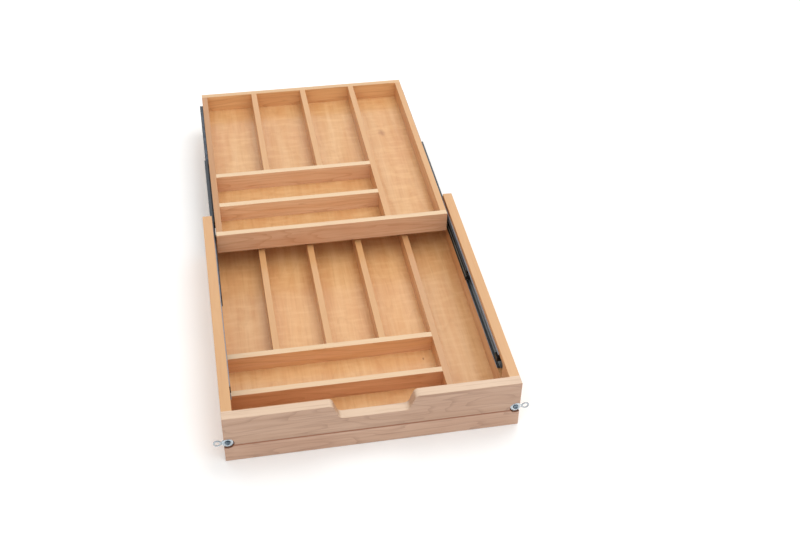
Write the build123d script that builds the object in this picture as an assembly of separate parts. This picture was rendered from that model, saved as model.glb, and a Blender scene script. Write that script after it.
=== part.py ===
import os

from build123d import *

# Two-tier drawer insert in millimetres: +X right, +Y back, +Z up.
# Origin: middle of the lower drawer's bottom front edge.
# The upper tray stands run out over the drawer's back, so both tiers lie open.

# Lower drawer
drawer_width = 520.7
drawer_depth = 565.2
drawer_height = 103.2
wall = 19.05
lower_board_height = 36.9
glue_line_chamfer = 1.5
eased_edge = 1.2
rail_height = 53.3
panel_thickness = 6.35
panel_underside = 12.0
panel_let_in = 6.0
scoop_depth = 31.7
scoop_top_half_width = 72.3
scoop_bottom_half_width = 60.7
scoop_corner = 10.0

# Dividers of both tiers
divider = 12.7
drawer_compartment_depth = 81.0
drawer_front_compartment_depth = 81.0
tongue_length = 3.0
tongue_below_top = 6.0
divider_ease = 0.8

# Upper tray
tray_width = 472.0
tray_depth = 541.0
tray_height = 43.3
tray_panel = 5.2
tray_above_drawer = 1.2
tray_front_gap = 5.15
tray_travel = 471.8
tray_front_compartment_depth = 82.9
tray_compartment_depth = 92.5

# Slides: across is measured from the outer member's back towards the tray
slide_height = 75.0
groove_depth = 7.4
groove_half_height = 18.15
groove_front = 60.0
groove_corner = 6.35
member_sheet = 1.0
bend_radius = 0.8
outer_front = 77.5
outer_length = 476.5
outer_half_height = 17.45
outer_lip_across = 9.0
member_length = 457.2
intermediate_back_across = 3.6
intermediate_half_height = 13.11
intermediate_lip_across = 11.0
inner_half_height = 8.77
inner_lip_across = 5.9
ball_radius = 1.5
balls_per_row = 8
ball_pitch = 24.0
cage_sheet = 0.5
cage_length = 200.0
outer_ball_across = 6.4
inner_ball_across = 8.2
ball_running_gap = 0.17
bumper_length = 16.0
bumper_back = 107.0
stop_gap = 0.6
notch_depth = 12.0
notch_half_height = 6.0
notch_corner = 2.0
screw_shank_radius = 1.75
outer_screw_head = 3.9
outer_screw_head_height = 1.1
outer_screw_length = 9.5
inner_screw_head = 3.4
inner_screw_head_height = 1.5
inner_screw_length = 12.5

# Eye plates at the front corners
eye_across = 253.8
eye_height = 42.5
eye_disc_radius = 9.8
eye_thickness = 1.9
eye_ring_reach = 17.7
eye_ring_radius = 7.2
eye_ring_hole = 4.2
eye_neck_half_width = 3.4
eye_pocket_radius = 11.3
eye_pocket_depth = 4.5
eye_shoulder_radius = 2.3
eye_running_gap = 0.05

# Brads through both bottom panels
brad_shank_radius = 0.7
brad_head_radius = 1.4
brad_head_height = 0.8
brad_inset = 40.0

half_width = drawer_width / 2
inner_half_width = half_width - wall
floor_top = panel_underside + panel_thickness
rail_front = drawer_depth - wall
tray_half_width = tray_width / 2
tray_inner_half_width = tray_half_width - divider
tray_top = drawer_height + tray_above_drawer
tray_underside = tray_top - tray_height
tray_floor = tray_underside + tray_panel
tray_front = wall + tray_front_gap + tray_travel
tray_back = tray_front + tray_depth
web_back = inner_half_width + groove_depth


def block(x_range, y_range, z_range):
    ranges = (x_range, y_range, z_range)
    sizes = [high - low for low, high in ranges]
    middle = [(high + low) / 2 for low, high in ranges]
    return Pos(*middle) * Box(*sizes)


def rod(radius, length, start, direction):
    upright = Cylinder(radius, length, align=(Align.CENTER, Align.CENTER, Align.MIN))
    return Plane(origin=start, z_dir=direction) * upright


def group(shapes):
    return Compound(children=list(shapes))


def mirrored(shape):
    return mirror(shape, about=Plane.YZ)


def cut(shape, tools):
    for tool in tools:
        shape = shape - tool
    return shape


def joined(shapes):
    shapes = list(shapes)
    whole = shapes[0]
    for shape in shapes[1:]:
        whole = whole + shape
    return whole


def evenly(first, last, count):
    return [first + (last - first) * index / (count - 1) for index in range(count)]


pieces = {}

# Drawer walls: eased together as one frame, then parted into boards.
wall_blocks = [
    block((-half_width, half_width), (0, wall), (0, drawer_height)),
    block((inner_half_width, half_width), (wall, drawer_depth), (0, drawer_height)),
    block((-half_width, -inner_half_width), (wall, drawer_depth), (0, drawer_height)),
]
scoop_floor = drawer_height - scoop_depth
scoop_outline = Polyline(
    (-half_width, 0, drawer_height + scoop_corner),
    (-half_width, 0, drawer_height),
    (-scoop_top_half_width, 0, drawer_height),
    (-scoop_bottom_half_width, 0, scoop_floor),
    (scoop_bottom_half_width, 0, scoop_floor),
    (scoop_top_half_width, 0, drawer_height),
    (half_width, 0, drawer_height),
    (half_width, 0, drawer_height + scoop_corner),
    close=True,
)
scoop = extrude(make_face(scoop_outline), amount=wall, dir=(0, 1, 0))


def is_scoop_corner(edge):
    middle = edge.center()
    return abs(middle.X) < half_width - 1 and middle.Z < drawer_height + 1


scoop_corners = [e for e in scoop.edges().filter_by(Axis.Y) if is_scoop_corner(e)]
scoop = fillet(scoop_corners, scoop_corner)
drawer_walls = joined(wall_blocks) - scoop


def is_wall_top_edge(edge):
    middle = edge.center()
    along_back_end = abs(middle.Y - drawer_depth) < 0.01
    upright = abs(edge.bounding_box().size.Z - drawer_height) < 0.01
    across_scoop = abs(middle.Y - wall / 2) < 0.01 and abs(middle.X) < inner_half_width
    return middle.Z > rail_height and not (along_back_end or upright or across_scoop)


top_edges = [e for e in drawer_walls.edges() if is_wall_top_edge(e)]
drawer_walls = fillet(top_edges, eased_edge)

front_space = ((-half_width, half_width), (0, wall))
front_lower = drawer_walls & block(*front_space, (0, lower_board_height))
front_upper = drawer_walls & block(*front_space, (lower_board_height, drawer_height))


def front_edge_at_glue_line(board):
    lengthwise = board.edges().filter_by(Axis.X)
    at_glue_line = [e for e in lengthwise if abs(e.center().Z - lower_board_height) < 0.01]
    return [e for e in at_glue_line if abs(e.center().Y) < 0.01]


front_lower = chamfer(front_edge_at_glue_line(front_lower), glue_line_chamfer)
front_upper = chamfer(front_edge_at_glue_line(front_upper), glue_line_chamfer)
side_right = drawer_walls & wall_blocks[1]
side_left = drawer_walls & wall_blocks[2]

# Bottom panel, let into grooves of all four walls.
drawer_bottom = block(
    (-inner_half_width - panel_let_in, inner_half_width + panel_let_in),
    (wall - panel_let_in, rail_front + panel_let_in),
    (panel_underside, floor_top),
)

# Lower dividers: four equal columns and a fifth, one divider running full length.
drawer_pitch = (2 * inner_half_width + divider) / 5
drawer_divider_lines = [(index - 1.5) * drawer_pitch for index in range(4)]
front_cross_front = wall + drawer_front_compartment_depth
rear_cross_front = front_cross_front + divider + drawer_compartment_depth
rear_cross_back = rear_cross_front + divider
divider_zone = (floor_top, rail_height)
full_length_line = drawer_divider_lines[3]
cross_right_end = full_length_line - divider / 2


def across_line(line):
    return (line - divider / 2, line + divider / 2)


long_blocks = [
    block(across_line(line), (rear_cross_back, rail_front), divider_zone)
    for line in drawer_divider_lines[:3]
]
long_blocks.append(block(across_line(full_length_line), (wall, rail_front), divider_zone))
cross_span = (-inner_half_width, cross_right_end)
cross_front_block = block(cross_span, (front_cross_front, front_cross_front + divider), divider_zone)
cross_rear_block = block(cross_span, (rear_cross_front, rear_cross_back), divider_zone)
rail_block = block((-inner_half_width, inner_half_width), (rail_front, drawer_depth), (0, rail_height))
lower_blocks = [*long_blocks, cross_front_block, cross_rear_block, rail_block]
lower_grid = joined(lower_blocks)


def is_free_top_edge(edge, top, side_face, front_face):
    middle = edge.center()
    on_top = abs(middle.Z - top) < 0.01
    against_side = abs(abs(middle.X) - side_face) < 0.01
    against_front = abs(middle.Y - front_face) < 0.01
    return on_top and not (against_side or against_front)


free_edges = [
    e for e in lower_grid.edges() if is_free_top_edge(e, rail_height, inner_half_width, wall)
]
lower_grid = fillet(free_edges, divider_ease)
long_dividers = [lower_grid & shape for shape in long_blocks]
cross_front = lower_grid & cross_front_block
cross_rear = lower_grid & cross_rear_block
back_rail = lower_grid & rail_block


# Stub tongues, hidden in the neighbouring board below its top edge.
def tongue(x_range, y_range, z_range):
    return block(x_range, y_range, (z_range[0], z_range[1] - tongue_below_top))


long_front_tongues = [
    tongue(across_line(line), (rear_cross_back - tongue_length, rear_cross_back), divider_zone)
    for line in drawer_divider_lines[:3]
]
long_front_tongues.append(
    tongue(across_line(full_length_line), (wall - tongue_length, wall), divider_zone)
)
long_back_tongues = [
    tongue(across_line(line), (rail_front, rail_front + tongue_length), divider_zone)
    for line in drawer_divider_lines
]
cross_fronts = (front_cross_front, rear_cross_front)
cross_left_tongues = [
    tongue((-inner_half_width - tongue_length, -inner_half_width), (y, y + divider), divider_zone)
    for y in cross_fronts
]
cross_right_tongues = [
    tongue((cross_right_end, cross_right_end + tongue_length), (y, y + divider), divider_zone)
    for y in cross_fronts
]

# Dowels of the drawer: three in each front corner, two at each end of the back rail.
dowel_radius = 4.0
dowel_length = 38.0
dowel_in_front = 13.0
corner_dowel_heights = (27.0, 62.0, 86.0)
rail_dowel_heights = (28.0, 42.0)
rail_dowel_in_side = 12.0
drawer_dowels = []
for side in (-1, 1):
    for height in corner_dowel_heights:
        start = (side * (half_width - wall / 2), wall - dowel_in_front, height)
        drawer_dowels.append(rod(dowel_radius, dowel_length, start, (0, 1, 0)))
    for height in rail_dowel_heights:
        start = (side * (inner_half_width + rail_dowel_in_side), drawer_depth - wall / 2, height)
        drawer_dowels.append(rod(dowel_radius, dowel_length, start, (-side, 0, 0)))


def brad(x, y, underside, length):
    shank = rod(brad_shank_radius, length, (x, y, underside), (0, 0, 1))
    head = rod(brad_head_radius, brad_head_height, (x, y, underside), (0, 0, 1))
    return shank + head


# Brads up through the bottom panel into the lower dividers.
brad_length = 25.0
drawer_brad_points = []
for line in drawer_divider_lines[:3]:
    lines = evenly(rear_cross_back + brad_inset, rail_front - brad_inset, 3)
    drawer_brad_points += [(line, y) for y in lines]
full_length_lines = evenly(wall + brad_inset, rail_front - brad_inset, 4)
drawer_brad_points += [(full_length_line, y) for y in full_length_lines]
for front in cross_fronts:
    brad_line = front + divider / 2
    lines = evenly(-inner_half_width + brad_inset, cross_right_end - brad_inset, 3)
    drawer_brad_points += [(x, brad_line) for x in lines]
drawer_brads = [brad(x, y, panel_underside, brad_length) for x, y in drawer_brad_points]

# Pockets for the slides, routed in the sides and open at the back.
groove_heights = (slide_height - groove_half_height, slide_height + groove_half_height)
slide_groove = block((inner_half_width, web_back), (groove_front, drawer_depth), groove_heights)
groove_corners = [
    e for e in slide_groove.edges().filter_by(Axis.X) if abs(e.center().Y - groove_front) < 0.01
]
slide_groove = fillet(groove_corners, groove_corner)


# Slides, drawn on the right and mirrored to the left.
def at(across, y, up):
    return (web_back - across, y, slide_height + up)


def bent_channel(half_outline, sheet, y_start, length):
    outline = half_outline + [(across, -up) for across, up in reversed(half_outline)]
    centre_line = FilletPolyline(*[at(across, y_start, up) for across, up in outline], radius=bend_radius)
    strip = offset(centre_line, amount=sheet / 2, side=Side.BOTH, closed=True)
    return extrude(make_face(strip), amount=length, dir=(0, 1, 0))


def slide_block(across_range, y_range, half_height):
    x_range = (web_back - across_range[1], web_back - across_range[0])
    return block(x_range, y_range, (slide_height - half_height, slide_height + half_height))


def rounded_plate(across_range, y_range, half_height, front_radius, back_radius):
    plate = slide_block(across_range, y_range, half_height)
    upright = plate.edges().filter_by(Axis.X)
    for y, radius in zip(y_range, (front_radius, back_radius)):
        corners = [e for e in upright if abs(e.center().Y - y) < 0.01]
        if radius:
            plate = fillet(corners, radius)
            upright = plate.edges().filter_by(Axis.X)
    return plate


def web_screw(y, head_across, head_radius, head_height, length, direction):
    head = rod(head_radius, head_height, at(head_across, y, 0), (direction, 0, 0))
    shank = rod(screw_shank_radius, length, at(head_across, y, 0), (direction, 0, 0))
    socket_radius = 0.45 * head_radius
    socket_depth = 0.6 * head_height
    socket = rod(socket_radius, socket_depth, at(head_across, y, 0), (direction, 0, 0))
    return head + shank - socket


half_sheet = member_sheet / 2

# Outer member, in the groove: the web runs ahead of the flanges with a rounded end.
outer_nose = 9.5
lip_turn = 1.4
outer_section = [
    (outer_lip_across - half_sheet, outer_half_height - lip_turn),
    (outer_lip_across - half_sheet, outer_half_height - half_sheet),
    (half_sheet, outer_half_height - half_sheet),
]
outer_run = bent_channel(outer_section, member_sheet, outer_front + outer_nose, outer_length - outer_nose)
outer_tip = rounded_plate(
    (0, member_sheet),
    (outer_front, outer_front + 2 * outer_nose),
    outer_half_height - bend_radius - half_sheet,
    outer_nose - half_sheet,
    0,
)
outer_member = outer_run + outer_tip
outer_screw_lines = (120.0, 210.0, 320.0, 430.0, 535.0)
outer_head_across = member_sheet + outer_screw_head_height
outer_screws = [
    web_screw(y, outer_head_across, outer_screw_head, outer_screw_head_height, outer_screw_length, 1)
    for y in outer_screw_lines
]
slot_lines = (165.0, 265.0, 375.0, 480.0)
slot_half_length = 6.0
slot_half_height = 2.2
outer_slots = [
    slide_block((0, member_sheet), (y - slot_half_length, y + slot_half_length), slot_half_height)
    for y in slot_lines
]
outer_member = cut(outer_member, outer_screws + outer_slots)

# Plastic bumper in the outer member: the block that meets the intermediate member's notch.
bumper_front = bumper_back - bumper_length
bumper_half_height = 4.75
bumper_across = (member_sheet, 9.3)
bumper_corner = 1.5
bumper_rim = 0.8
bumper = rounded_plate(
    bumper_across, (bumper_front, bumper_back), bumper_half_height, bumper_corner, bumper_corner
)
bumper_face = web_back - bumper_across[1]
bumper_face_edges = [e for e in bumper.edges() if abs(e.center().X - bumper_face) < 0.01]
bumper = fillet(bumper_face_edges, bumper_rim)

# Intermediate member, run halfway back.
intermediate_front_closed = bumper_back + stop_gap - notch_depth
intermediate_front = intermediate_front_closed + tray_travel / 2
intermediate_section = [
    (intermediate_lip_across - half_sheet, intermediate_half_height - lip_turn),
    (intermediate_lip_across - half_sheet, intermediate_half_height - half_sheet),
    (intermediate_back_across + half_sheet, intermediate_half_height - half_sheet),
]
intermediate_member = bent_channel(intermediate_section, member_sheet, intermediate_front, member_length)
access_hole_radius = 5.0
access_hole_lines = (60.0, 150.0, member_length - 150.0, member_length - 60.0)
intermediate_holes = [
    rod(
        access_hole_radius,
        member_sheet,
        at(intermediate_back_across, intermediate_front + along, 0),
        (-1, 0, 0),
    )
    for along in access_hole_lines
]
bumper_notch = rounded_plate(
    (0, 2 * intermediate_lip_across),
    (intermediate_front - notch_depth, intermediate_front + notch_depth),
    notch_half_height,
    0,
    notch_corner,
)
intermediate_member = cut(intermediate_member, [*intermediate_holes, bumper_notch])
intermediate_web_front = intermediate_back_across + member_sheet

# Plastic nose clipped into the intermediate member's front end, forked round the notch.
nose_foot_length = 21.0
nose_foot_height = 0.9
nose_foot_half_width = 9.0
nose_foot_corner = 3.0
nose_bar_length = 3.0
nose_bar_across = 9.9
nose_bar_half_width = 10.9
nose_foot = rounded_plate(
    (intermediate_web_front, intermediate_web_front + nose_foot_height),
    (intermediate_front, intermediate_front + nose_foot_length),
    nose_foot_half_width,
    0,
    nose_foot_corner,
)
nose_bar = slide_block(
    (intermediate_web_front, nose_bar_across),
    (intermediate_front, intermediate_front + nose_bar_length),
    nose_bar_half_width,
)
intermediate_nose = nose_foot + nose_bar - bumper_notch

# Inner member, screwed to the tray's side, with a rounded tongue at its back end.
inner_set_back = 75.0
inner_front = tray_front + inner_set_back
inner_tongue = 7.0
inner_lip_rise = 0.65
web_across = web_back - tray_half_width
inner_section = [
    (inner_lip_across + half_sheet, inner_half_height + inner_lip_rise),
    (inner_lip_across + half_sheet, inner_half_height - half_sheet),
    (web_across - half_sheet, inner_half_height - half_sheet),
]
inner_run = bent_channel(inner_section, member_sheet, inner_front, member_length - inner_tongue)
inner_end = inner_front + member_length
inner_tip = rounded_plate(
    (web_across - member_sheet, web_across),
    (inner_end - 2 * inner_tongue, inner_end),
    inner_tongue,
    0,
    inner_tongue - 0.01,
)
inner_member = inner_run + inner_tip
inner_web_front = web_across - member_sheet
inner_screw_lines = [inner_front + along for along in (80.0, 190.0, 300.0, 410.0)]
inner_head_across = inner_web_front - inner_screw_head_height
inner_screws = [
    web_screw(y, inner_head_across, inner_screw_head, inner_screw_head_height, inner_screw_length, -1)
    for y in inner_screw_lines
]

# Release lever in the inner member, turning on a rivet through its web.
lever_pivot = inner_front + 45.0
lever_arm = 25.0
lever_tail = 12.0
lever_across = (7.1, 11.4)
lever_tail_across = (7.1, 9.6)
lever_arm_half_width = 1.9
lever_tail_half_width = 1.4
lever_boss_radius = 3.4
lever_boss_length = lever_across[1] - lever_across[0]
catch_length = 8.0
catch_overhang = 3.0
catch_half_width = 3.2
rivet_radius = 1.5
rivet_gap = 0.05
rivet_head_across = 6.0
rivet_head_radius = 2.6
rivet_head_height = 0.9
lever_arm_bar = slide_block(lever_across, (lever_pivot - lever_arm, lever_pivot), lever_arm_half_width)
lever_tail_bar = slide_block(
    lever_tail_across, (lever_pivot, lever_pivot + lever_tail), lever_tail_half_width
)
lever_boss = rod(lever_boss_radius, lever_boss_length, at(lever_across[0], lever_pivot, 0), (-1, 0, 0))
catch_front = lever_pivot - lever_arm - catch_overhang
lever_catch = rounded_plate(
    lever_across, (catch_front, catch_front + catch_length), catch_half_width, 1.5, 0.8
)
rivet_hole = rod(
    rivet_radius + rivet_gap, 2 * lever_boss_length, at(rivet_head_across, lever_pivot, 0), (-1, 0, 0)
)
release_lever = lever_arm_bar + lever_tail_bar + lever_boss + lever_catch - rivet_hole
rivet_shank_length = web_across - rivet_head_across
rivet_shank = rod(rivet_radius, rivet_shank_length, at(rivet_head_across, lever_pivot, 0), (-1, 0, 0))
rivet_head = rod(
    rivet_head_radius, rivet_head_height, at(rivet_head_across, lever_pivot, 0), (-1, 0, 0)
)
lever_rivet = rivet_shank + rivet_head
inner_member = cut(inner_member, [*inner_screws, lever_rivet])


# Ball cages: thin strips folded round the web, with one row of balls in each fold.
cage_end_bar = 12.0
cage_web_margin = 4.0
ball_hole_gap = 0.1


def ball_points(y_start, across, up):
    first = y_start + (cage_length - ball_pitch * (balls_per_row - 1)) / 2
    lines = [first + ball_pitch * index for index in range(balls_per_row)]
    return [at(across, y, side * up) for side in (-1, 1) for y in lines]


def ball_cage(y_start, web_across_range, fold_end_across, ball_across, row_height):
    fold = cage_sheet / 2
    web = slide_block(web_across_range, (y_start, y_start + cage_length), row_height + fold)
    strip = slide_block(
        (web_across_range[0], fold_end_across), (y_start, y_start + cage_length), row_height + fold
    )
    hollow = slide_block(
        (web_across_range[1], fold_end_across), (y_start, y_start + cage_length), row_height - fold
    )
    window = slide_block(
        web_across_range,
        (y_start + cage_end_bar, y_start + cage_length - cage_end_bar),
        row_height - cage_web_margin,
    )
    hole_radius = ball_radius + ball_hole_gap
    holes = [
        Pos(*point) * Cylinder(hole_radius, 4 * ball_radius)
        for point in ball_points(y_start, ball_across, row_height)
    ]
    return cut(strip - hollow - (window & web), holes)


outer_row_height = intermediate_half_height + ball_running_gap + ball_radius
inner_row_height = inner_half_height + ball_running_gap + ball_radius
outer_cage_front = intermediate_front + 4.5
inner_cage_front = inner_front + 7.0
outer_cage_web = (2.75, 3.25)
inner_cage_web = (5.0, 5.4)
outer_fold_end = 8.6
inner_fold_end = 10.3
outer_cage = ball_cage(outer_cage_front, outer_cage_web, outer_fold_end, outer_ball_across, outer_row_height)
inner_cage = ball_cage(inner_cage_front, inner_cage_web, inner_fold_end, inner_ball_across, inner_row_height)
outer_balls = [
    Pos(*point) * Sphere(ball_radius)
    for point in ball_points(outer_cage_front, outer_ball_across, outer_row_height)
]
inner_balls = [
    Pos(*point) * Sphere(ball_radius)
    for point in ball_points(inner_cage_front, inner_ball_across, inner_row_height)
]

# Eye plate: dished disc under a screw, neck and ring standing out past the side.
eye_back = eye_pocket_depth - eye_running_gap
eye_front = eye_back - eye_thickness
eye_start = (eye_across, eye_front, eye_height)
ring_start = (eye_across + eye_ring_reach, eye_front, eye_height)
backwards = (0, 1, 0)
eye_disc = rod(eye_disc_radius, eye_thickness, eye_start, backwards)
eye_ring = rod(eye_ring_radius, eye_thickness, ring_start, backwards)
eye_neck = block(
    (eye_across, eye_across + eye_ring_reach),
    (eye_front, eye_back),
    (eye_height - eye_neck_half_width, eye_height + eye_neck_half_width),
)
eye_plate = eye_disc + eye_ring + eye_neck


def is_neck_corner(edge):
    middle = edge.center()
    beside_neck = eye_across + 6 < middle.X < eye_across + eye_ring_reach - 3
    return beside_neck and abs(abs(middle.Z - eye_height) - eye_neck_half_width) < 0.3


neck_corner = 0.8
rim_rounding = 0.5
hole_rounding = 0.3
neck_corners = [e for e in eye_plate.edges().filter_by(Axis.Y) if is_neck_corner(e)]
eye_plate = fillet(neck_corners, neck_corner)
eye_rim = [e for e in eye_plate.edges() if abs(e.center().Y - eye_front) < 0.01]
eye_plate = fillet(eye_rim, rim_rounding)
dish_radius = 7.6
dish_depth = 0.45
dish = rod(dish_radius, dish_depth, eye_start, backwards)
eye_shoulder_hole = rod(eye_shoulder_radius + eye_running_gap, eye_thickness, eye_start, backwards)
eye_hole = rod(eye_ring_hole, eye_thickness, ring_start, backwards)
eye_plate = cut(eye_plate, [dish, eye_shoulder_hole, eye_hole])
eye_hole_rim = [
    e for e in eye_plate.edges().filter_by(GeomType.CIRCLE)
    if abs(e.radius - eye_ring_hole) < 0.01 and abs(e.center().Y - eye_front) < 0.01
]
eye_plate = fillet(eye_hole_rim, hole_rounding)

# Its screw: low head in the dish, shoulder the plate swings on, threaded shank.
eye_head_radius = 4.6
eye_head_front = 0.5
eye_head_back = eye_front + dish_depth - 2 * eye_running_gap
eye_head_rounding = 0.8
eye_screw_length = 16.5
eye_shank_radius = 1.9
eye_head_start = (eye_across, eye_head_front, eye_height)
eye_head = rod(eye_head_radius, eye_head_back - eye_head_front, eye_head_start, backwards)
eye_head_rim = [e for e in eye_head.edges() if abs(e.center().Y - eye_head_front) < 0.01]
eye_head = fillet(eye_head_rim, eye_head_rounding)
eye_shoulder = rod(eye_shoulder_radius, eye_pocket_depth - eye_head_front, eye_head_start, backwards)
eye_shank = rod(eye_shank_radius, eye_screw_length, eye_head_start, backwards)
drive_arm = 2.6
drive_width = 0.9
drive_depth = 1.0
drive_slots = [
    block(
        (eye_across - wide, eye_across + wide),
        (eye_head_front, eye_head_front + drive_depth),
        (eye_height - high, eye_height + high),
    )
    for wide, high in ((drive_arm, drive_width / 2), (drive_width / 2, drive_arm))
]
eye_screw = cut(eye_head + eye_shoulder + eye_shank, drive_slots)
eye_pocket = rod(eye_pocket_radius, eye_pocket_depth, (eye_across, 0, eye_height), backwards)

# Upper tray: walls and dividers eased together, then parted into boards.
tray_sides_span = (tray_front + divider, tray_back - divider)
tray_heights = (tray_underside, tray_top)
tray_width_span = (-tray_half_width, tray_half_width)
tray_front_block = block(tray_width_span, (tray_front, tray_front + divider), tray_heights)
tray_back_block = block(tray_width_span, (tray_back - divider, tray_back), tray_heights)
tray_right_block = block((tray_inner_half_width, tray_half_width), tray_sides_span, tray_heights)
tray_left_block = block((-tray_half_width, -tray_inner_half_width), tray_sides_span, tray_heights)
tray_pitch = (2 * tray_inner_half_width + divider) / 4
tray_divider_lines = [(index - 1) * tray_pitch for index in range(3)]
tray_zone = (tray_floor, tray_top)
tray_front_cross = tray_front + divider + tray_front_compartment_depth
tray_rear_cross = tray_front_cross + divider + tray_compartment_depth
tray_cross_fronts = (tray_front_cross, tray_rear_cross)
tray_columns_front = tray_rear_cross + divider
tray_full_line = tray_divider_lines[2]
tray_cross_right_end = tray_full_line - divider / 2
tray_long_blocks = [
    block(across_line(line), (tray_columns_front, tray_sides_span[1]), tray_zone)
    for line in tray_divider_lines[:2]
]
tray_long_blocks.append(block(across_line(tray_full_line), tray_sides_span, tray_zone))
tray_cross_blocks = [
    block((-tray_inner_half_width, tray_cross_right_end), (y, y + divider), tray_zone)
    for y in tray_cross_fronts
]
tray_wall_blocks = [tray_front_block, tray_back_block, tray_left_block, tray_right_block]
tray_grid = joined([*tray_wall_blocks, *tray_long_blocks, *tray_cross_blocks])
tray_top_edges = [e for e in tray_grid.edges() if abs(e.center().Z - tray_top) < 0.01]
tray_grid = fillet(tray_top_edges, divider_ease)
tray_walls = [tray_grid & shape for shape in tray_wall_blocks]
tray_long_dividers = [tray_grid & shape for shape in tray_long_blocks]
tray_cross_dividers = [tray_grid & shape for shape in tray_cross_blocks]

# Tray bottom, flush in a rebate of the walls.
rebate = divider / 2
tray_bottom = block(
    (-tray_inner_half_width - rebate, tray_inner_half_width + rebate),
    (tray_sides_span[0] - rebate, tray_sides_span[1] + rebate),
    (tray_underside, tray_floor),
)

tray_front_tongues = [
    tongue(across_line(line), (tray_columns_front - tongue_length, tray_columns_front), tray_zone)
    for line in tray_divider_lines[:2]
]
tray_front_tongues.append(
    tongue(across_line(tray_full_line), (tray_sides_span[0] - tongue_length, tray_sides_span[0]), tray_zone)
)
tray_back_tongues = [
    tongue(across_line(line), (tray_sides_span[1], tray_sides_span[1] + tongue_length), tray_zone)
    for line in tray_divider_lines
]
tray_left_tongues = [
    tongue((-tray_inner_half_width - tongue_length, -tray_inner_half_width), (y, y + divider), tray_zone)
    for y in tray_cross_fronts
]
tray_right_tongues = [
    tongue((tray_cross_right_end, tray_cross_right_end + tongue_length), (y, y + divider), tray_zone)
    for y in tray_cross_fronts
]

# Dowels of the tray: two in every corner, run in through the end boards.
tray_dowel_radius = 3.0
tray_dowel_length = 32.0
tray_dowel_set_in = 4.0
tray_dowel_heights = (76.0, 94.0)
tray_dowels = []
for side in (-1, 1):
    for height in tray_dowel_heights:
        line = side * (tray_half_width - divider / 2)
        back_start = tray_back - tray_dowel_set_in - tray_dowel_length
        for y in (tray_front + tray_dowel_set_in, back_start):
            tray_dowels.append(rod(tray_dowel_radius, tray_dowel_length, (line, y, height), (0, 1, 0)))

tray_brad_length = 22.0
tray_brad_points = []
for line in tray_divider_lines[:2]:
    lines = evenly(tray_columns_front + brad_inset, tray_sides_span[1] - brad_inset, 3)
    tray_brad_points += [(line, y) for y in lines]
tray_full_lines = evenly(tray_sides_span[0] + brad_inset, tray_sides_span[1] - brad_inset, 4)
tray_brad_points += [(tray_full_line, y) for y in tray_full_lines]
for front in tray_cross_fronts:
    brad_line = front + divider / 2
    brad_ends = (-tray_inner_half_width + brad_inset, tray_cross_right_end - brad_inset)
    tray_brad_points += [(x, brad_line) for x in evenly(*brad_ends, 3)]
rim_line = tray_inner_half_width + rebate / 2
rim_brad_inset = 60.0
for side in (-1, 1):
    lines = evenly(tray_front + rim_brad_inset, tray_back - rim_brad_inset, 4)
    tray_brad_points += [(side * rim_line, y) for y in lines]
for y in (tray_sides_span[0] - rebate / 2, tray_sides_span[1] + rebate / 2):
    lines = evenly(-tray_half_width + rim_brad_inset, tray_half_width - rim_brad_inset, 4)
    tray_brad_points += [(x, y) for x in lines]
tray_brads = [brad(x, y, tray_underside, tray_brad_length) for x, y in tray_brad_points]

# Fit the tray's pieces together.
inner_screws_left = [mirrored(screw) for screw in inner_screws]
tray_side_cuts = [tray_bottom, *tray_dowels, *tray_brads]
pieces["tray_front"] = cut(tray_walls[0], [*tray_side_cuts, tray_front_tongues[2]])
pieces["tray_back"] = cut(tray_walls[1], [*tray_side_cuts, *tray_back_tongues])
pieces["tray_side_left"] = cut(
    tray_walls[2], [*tray_side_cuts, *tray_left_tongues, *inner_screws_left, mirrored(lever_rivet)]
)
pieces["tray_side_right"] = cut(tray_walls[3], [*tray_side_cuts, *inner_screws, lever_rivet])
pieces["tray_bottom"] = cut(tray_bottom, tray_brads)
for index, board in enumerate(tray_long_dividers):
    board = board + tray_front_tongues[index] + tray_back_tongues[index]
    if index == 2:
        board = cut(board, tray_right_tongues)
    pieces[f"tray_long_divider_{index + 1}"] = cut(board, tray_brads)
for index, name in enumerate(("front", "rear")):
    board = tray_cross_dividers[index] + tray_left_tongues[index] + tray_right_tongues[index]
    if name == "rear":
        board = cut(board, tray_front_tongues[:2])
    pieces[f"tray_cross_divider_{name}"] = cut(board, tray_brads)
pieces["tray_dowels"] = group(tray_dowels)
pieces["tray_bottom_brads"] = group(tray_brads)

# Fit the drawer's pieces together.
eye_tools = [eye_pocket, eye_screw]
eye_tools += [mirrored(tool) for tool in eye_tools]
front_cuts = [drawer_bottom, long_front_tongues[3], *drawer_dowels, *eye_tools]
pieces["drawer_front_upper_board"] = cut(front_upper, front_cuts)
pieces["drawer_front_lower_board"] = cut(front_lower, front_cuts)
side_cuts = [drawer_bottom, *drawer_dowels]
pieces["drawer_side_right"] = cut(side_right, [*side_cuts, slide_groove, *outer_screws])
left_side_tools = [mirrored(slide_groove), *[mirrored(screw) for screw in outer_screws]]
pieces["drawer_side_left"] = cut(side_left, [*side_cuts, *left_side_tools, *cross_left_tongues])
pieces["drawer_back_rail"] = cut(back_rail, [drawer_bottom, *drawer_dowels, *long_back_tongues])
pieces["drawer_bottom"] = cut(drawer_bottom, drawer_brads)
for index, board in enumerate(long_dividers):
    board = board + long_front_tongues[index] + long_back_tongues[index]
    if index == 3:
        board = cut(board, cross_right_tongues)
    pieces[f"drawer_long_divider_{index + 1}"] = cut(board, drawer_brads)
for index, name in enumerate(("front", "rear")):
    board = (cross_front, cross_rear)[index] + cross_left_tongues[index] + cross_right_tongues[index]
    if name == "rear":
        board = cut(board, long_front_tongues[:3])
    pieces[f"drawer_cross_divider_{name}"] = cut(board, drawer_brads)
pieces["drawer_dowels"] = group(drawer_dowels)
pieces["drawer_bottom_brads"] = group(drawer_brads)

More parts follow.
